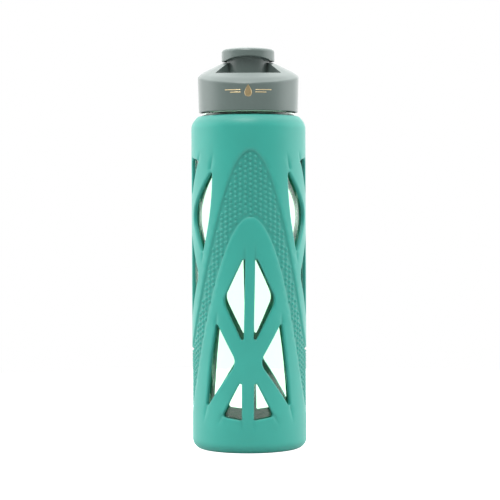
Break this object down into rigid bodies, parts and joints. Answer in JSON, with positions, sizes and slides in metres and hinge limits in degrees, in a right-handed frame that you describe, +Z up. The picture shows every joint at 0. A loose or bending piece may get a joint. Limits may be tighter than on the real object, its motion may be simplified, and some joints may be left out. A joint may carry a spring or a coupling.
{
  "type": "glass water bottle",
  "caption": "Glass water bottle in an openwork silicone sleeve, with a screw-on lid, a drinking spout and a hinged flip cap.",
  "frame": {"origin": "centre of the sleeve's base, on the surface that the bottle stands on", "axes": "+Z up along the bottle's axis, -Y to the front (the low side of the lid's tilted rim), +X to the right seen from the front"},
  "size_m": [0.073, 0.073, 0.2558],
  "materials": {
    "glass": "clear, polished",
    "sleeve_silicone": "satin silicone",
    "seal_silicone": "matte translucent",
    "spout_plastic": "semi-gloss",
    "lid_plastic": "satin moulded",
    "cap_plastic": "satin moulded",
    "plug_plastic": "satin moulded",
    "pin_steel": "drawn"
  },
  "bodies": {
    "root": {"glass_bottle": "glass", "silicone_sleeve": "sleeve_silicone"},
    "gasket": {"lid_gasket": "seal_silicone"},
    "lid": {"lid_core": "spout_plastic", "lid_shell": "lid_plastic", "hinge_pin": "pin_steel"},
    "cap": {"flip_cap": "cap_plastic", "cap_plug": "plug_plastic", "cap_seal": "seal_silicone"}
  },
  "joints": [
    {"name": "lid_lift", "type": "slide", "parent": "root", "child": "gasket", "axis": [0, 0, 1], "range_m": [0, 0.036]},
    {"name": "lid_turn", "type": "hinge", "parent": "gasket", "child": "lid", "pos_m": [0, 0, 0.2145], "axis": [0, 0, 1], "range_deg": [0, 1080]},
    {"name": "cap_flip", "type": "hinge", "parent": "lid", "child": "cap", "pos_m": [0, 0.0204, 0.2494], "axis": [-1, 0, 0], "range_deg": [0, 150]}
  ],
  "couplings": [
    {"joint": "lid_turn", "follows": "lid_lift", "rad_per_m": 523.6}
  ]
}
